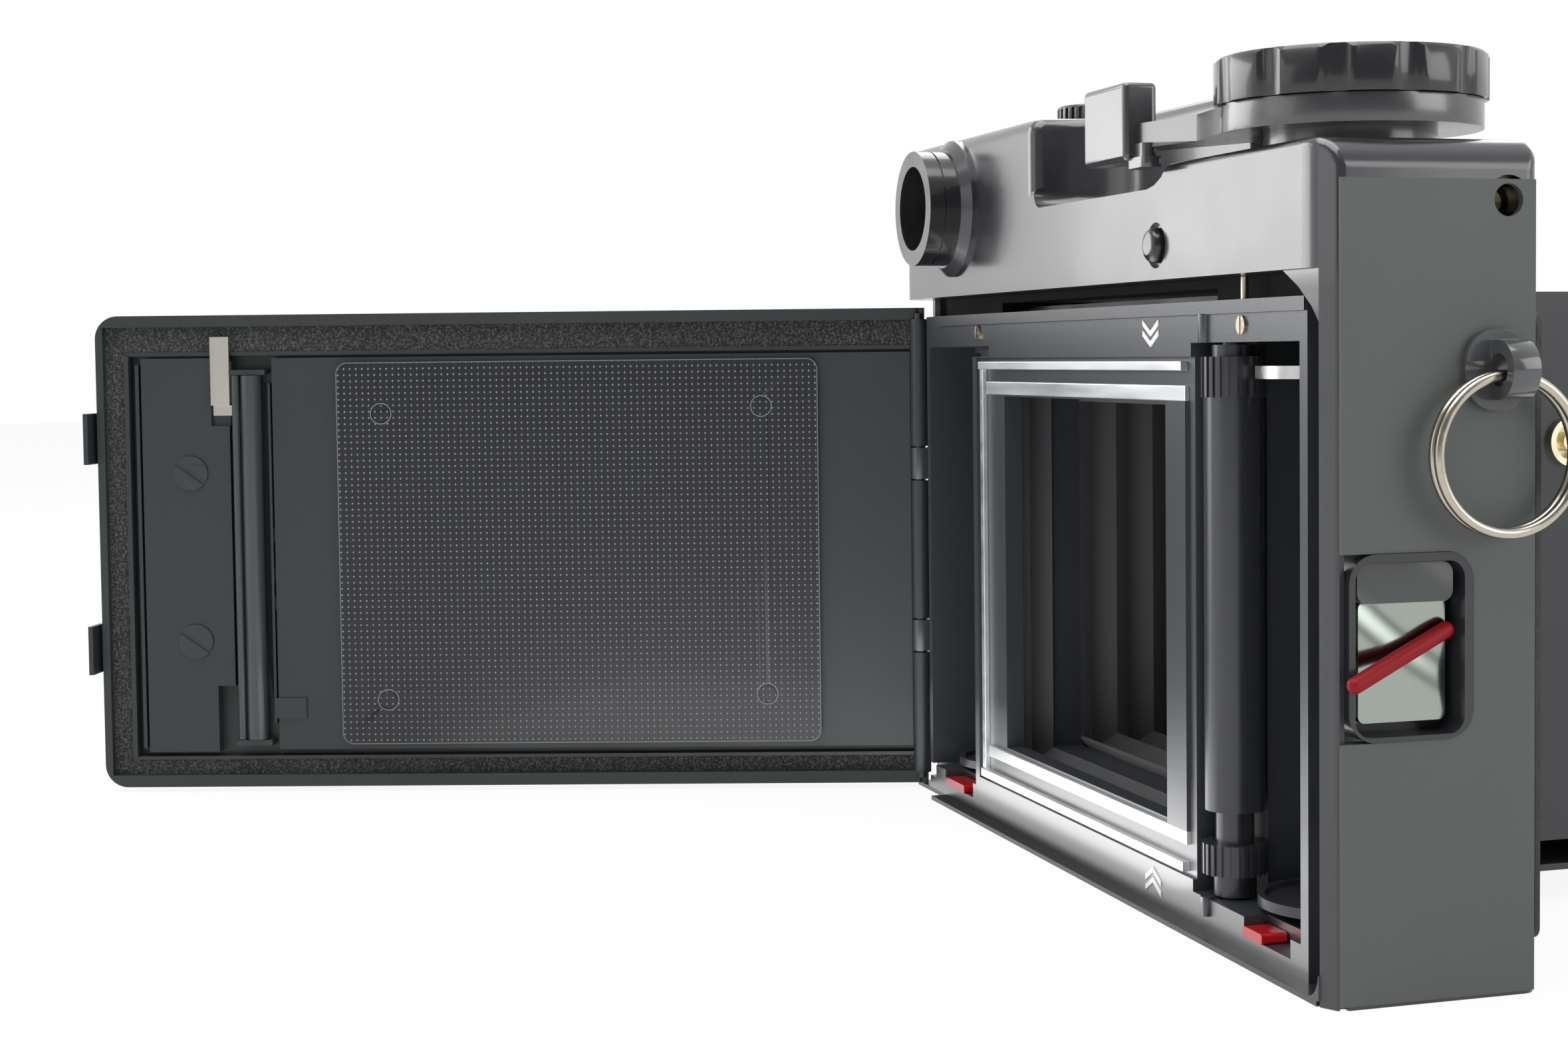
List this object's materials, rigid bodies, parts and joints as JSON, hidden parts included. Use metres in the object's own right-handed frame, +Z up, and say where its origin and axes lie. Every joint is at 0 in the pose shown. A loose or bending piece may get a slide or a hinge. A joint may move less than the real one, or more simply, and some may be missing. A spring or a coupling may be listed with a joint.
{
  "type": "folding medium format rangefinder camera",
  "caption": "Folding roll film rangefinder camera with a hinged back door, bellows on a scissor front, focusing knob, wind lever and strap rings.",
  "frame": {"origin": "centre of the tripod socket's mouth in the flat base", "axes": "+X towards the door hinge and eyepiece end, +Y to the back (film door side), -Y is where the lens points, +Z up"},
  "size_m": [0.2124, 0.224, 0.1134],
  "materials": {
    "black_paint": "satin black paint",
    "satin_metal": "ground and polished",
    "black_steel": "semi-matt black",
    "white_mark": "white fill",
    "bright_steel": "nickel plated",
    "mirror_plate": "polished dished plate",
    "red_enamel": "gloss enamel",
    "skin": "fine black grain",
    "flock": "black flock",
    "bellows_cloth": "pleated black cloth",
    "glass": "coated"
  },
  "bodies": {
    "body": {"body_shell": "black_paint", "body_casting": "black_paint", "inner_rails": "satin_metal", "outer_rails": "satin_metal", "film_arrows": "white_mark", "top_housing": "black_paint", "side_cover": "black_paint", "latch_bezel": "black_paint", "strap_lugs": "black_paint", "release_socket": "bright_steel", "tripod_bush": "satin_metal", "grip_skin": "skin", "accessory_shoe": "satin_metal", "eyepiece": "black_paint", "finder_glass": "glass", "finder_block": "black_steel", "battery_cover": "black_steel", "screws": "bright_steel", "hinge_pin": "bright_steel", "bellows_rear": "bellows_cloth"},
    "door": {"back_door": "black_steel", "door_skin": "skin", "door_seal": "flock", "door_plate_free": "black_steel", "door_plate_hinge": "black_steel", "door_springs": "bright_steel", "spring_buttons": "black_steel", "roller_bracket": "black_steel"},
    "pressure": {"pressure_plate": "black_steel"},
    "roller_thick": {"door_roller_thick": "black_steel"},
    "roller_thin": {"door_roller_thin": "black_steel"},
    "latch": {"latch_slider": "mirror_plate", "latch_bar": "red_enamel"},
    "metering": {"metering_roller": "black_steel"},
    "drive": {"takeup_drive": "satin_metal"},
    "pin_takeup": {"spool_pin_takeup": "black_steel"},
    "pin_supply": {"spool_pin_supply": "black_steel"},
    "tab_t": {"tab_takeup": "red_enamel"},
    "tab_s": {"tab_supply": "red_enamel"},
    "lever": {"wind_lever": "black_paint"},
    "knob": {"focus_knob": "black_steel"},
    "button": {"shutter_button": "satin_metal"},
    "meter": {"meter_button": "black_paint"},
    "counter": {"counter_disc": "black_paint"},
    "dial": {"speed_dial": "black_steel"},
    "interlock": {"interlock_pin": "bright_steel"},
    "carriage": {"focus_carriage": "black_paint", "bellows_main": "bellows_cloth"},
    "arm_ta": {"arm_top_a": "black_steel"},
    "arm_tb": {"arm_top_b": "black_steel"},
    "arm_ba": {"arm_bottom_a": "black_steel"},
    "arm_bb": {"arm_bottom_b": "black_steel"},
    "front": {"lens_standard": "black_paint", "lens_barrel": "black_steel", "lens_glass": "glass", "sync_socket": "bright_steel"},
    "aperture": {"aperture_ring": "black_steel"},
    "shutter": {"shutter_ring": "black_steel"},
    "ring_right": {"strap_ring_right": "bright_steel"},
    "ring_left": {"strap_ring_left": "bright_steel"}
  },
  "joints": [
    {"name": "door_hinge", "type": "hinge", "parent": "body", "child": "door", "pos_m": [0.072, 0.0125, 0], "axis": [0, 0, 1], "range_deg": [-6, 108.6]},
    {"name": "pressure_give", "type": "slide", "parent": "door", "child": "pressure", "axis": [0.9478, -0.319, 0], "range_m": [0, 0.0006], "stiffness_N_per_m": 400},
    {"name": "thick_roller_turn", "type": "hinge", "parent": "door", "child": "roller_thick", "pos_m": [0.1109, 0.12323, 0.04], "axis": [0, 0, 1], "continuous": true},
    {"name": "thin_roller_turn", "type": "hinge", "parent": "door", "child": "roller_thin", "pos_m": [0.11144, 0.12579, 0.04], "axis": [0, 0, 1], "continuous": true},
    {"name": "latch_slide", "type": "slide", "parent": "body", "child": "latch", "axis": [0, 0, -1], "range_m": [0, 0.0012], "stiffness_N_per_m": 600},
    {"name": "metering_turn", "type": "hinge", "parent": "body", "child": "metering", "pos_m": [-0.0446, 0.008, 0], "axis": [0, 0, 1], "continuous": true},
    {"name": "lever_wind", "type": "hinge", "parent": "body", "child": "lever", "pos_m": [-0.062, 0.0005, 0], "axis": [0, 0, 1], "range_deg": [0, 180]},
    {"name": "drive_turn", "type": "hinge", "parent": "body", "child": "drive", "pos_m": [-0.058, 0, 0], "axis": [0, 0, 1], "range_deg": [0, 360]},
    {"name": "counter_turn", "type": "hinge", "parent": "body", "child": "counter", "pos_m": [-0.014, -0.0059, 0], "axis": [0, 0, 1], "range_deg": [0, 30]},
    {"name": "focus_turn", "type": "hinge", "parent": "body", "child": "knob", "pos_m": [-0.062, 0.0005, 0], "axis": [0, 0, -1], "range_deg": [0, 185.11]},
    {"name": "focus_slide", "type": "slide", "parent": "body", "child": "carriage", "axis": [0, -1, 0], "range_m": [0, 0.0071], "deforming": ["bellows_rear"]},
    {"name": "fold_slide", "type": "slide", "parent": "carriage", "child": "front", "axis": [0, 1, 0], "range_m": [0, 0.034], "deforming": ["bellows_main"]},
    {"name": "arm_ta_turn", "type": "hinge", "parent": "carriage", "child": "arm_ta", "pos_m": [0.034, -0.0005, 0.077], "axis": [0, 0, -1], "range_deg": [0, 29.15]},
    {"name": "arm_tb_turn", "type": "hinge", "parent": "carriage", "child": "arm_tb", "pos_m": [-0.034, -0.0005, 0.079], "axis": [0, 0, 1], "range_deg": [0, 29.15]},
    {"name": "arm_ba_turn", "type": "hinge", "parent": "carriage", "child": "arm_ba", "pos_m": [0.034, -0.0005, 0.006], "axis": [0, 0, -1], "range_deg": [0, 29.15]},
    {"name": "arm_bb_turn", "type": "hinge", "parent": "carriage", "child": "arm_bb", "pos_m": [-0.034, -0.0005, 0.0075], "axis": [0, 0, 1], "range_deg": [0, 29.15]},
    {"name": "aperture_turn", "type": "hinge", "parent": "front", "child": "aperture", "pos_m": [0, -0.0685, 0.0411], "axis": [0, 1, 0], "range_deg": [-40, 40]},
    {"name": "shutter_turn", "type": "hinge", "parent": "front", "child": "shutter", "pos_m": [0, -0.0655, 0.0411], "axis": [0, 1, 0], "range_deg": [-60, 60]},
    {"name": "shutter_press", "type": "slide", "parent": "knob", "child": "button", "axis": [0, 0, -1], "range_m": [0, 0.0012], "stiffness_N_per_m": 500},
    {"name": "dial_turn", "type": "hinge", "parent": "body", "child": "dial", "pos_m": [0.0165, 0.0012, 0], "axis": [0, 0, 1], "range_deg": [-150, 150]},
    {"name": "meter_press", "type": "slide", "parent": "body", "child": "meter", "axis": [0, -1, 0], "range_m": [0, 0.0009], "stiffness_N_per_m": 500},
    {"name": "interlock_press", "type": "slide", "parent": "body", "child": "interlock", "axis": [0, 0, -1], "range_m": [0, 0.0014], "stiffness_N_per_m": 300},
    {"name": "tab_takeup_slide", "type": "slide", "parent": "body", "child": "tab_t", "axis": [-1, 0, 0], "range_m": [0, 0.0034]},
    {"name": "tab_supply_slide", "type": "slide", "parent": "body", "child": "tab_s", "axis": [-1, 0, 0], "range_m": [0, 0.0034]},
    {"name": "pin_takeup_drop", "type": "slide", "parent": "body", "child": "pin_takeup", "axis": [0, 0, -1], "range_m": [0, 0.0011]},
    {"name": "pin_supply_drop", "type": "slide", "parent": "body", "child": "pin_supply", "axis": [0, 0, -1], "range_m": [0, 0.0011]},
    {"name": "ring_right_swing", "type": "hinge", "parent": "body", "child": "ring_right", "pos_m": [-0.0856, -0.0076, 0.0734], "axis": [0, 1, 0], "range_deg": [0, 120]},
    {"name": "ring_left_swing", "type": "hinge", "parent": "body", "child": "ring_left", "pos_m": [0.0786, -0.0076, 0.0734], "axis": [0, 1, 0], "range_deg": [-120, 0]}
  ],
  "couplings": [
    {"joint": "drive_turn", "follows": "lever_wind", "ratio": 2},
    {"joint": "counter_turn", "follows": "lever_wind", "ratio": 0.1667},
    {"joint": "focus_turn", "follows": "focus_slide", "rad_per_m": 454.55},
    {"joint": "arm_ta_turn", "follows": "fold_slide", "rad_per_m": 14.953},
    {"joint": "arm_tb_turn", "follows": "fold_slide", "rad_per_m": 14.953},
    {"joint": "arm_ba_turn", "follows": "fold_slide", "rad_per_m": 14.953},
    {"joint": "arm_bb_turn", "follows": "fold_slide", "rad_per_m": 14.953},
    {"joint": "pin_takeup_drop", "follows": "tab_takeup_slide", "ratio": 0.32},
    {"joint": "pin_supply_drop", "follows": "tab_supply_slide", "ratio": 0.32}
  ]
}
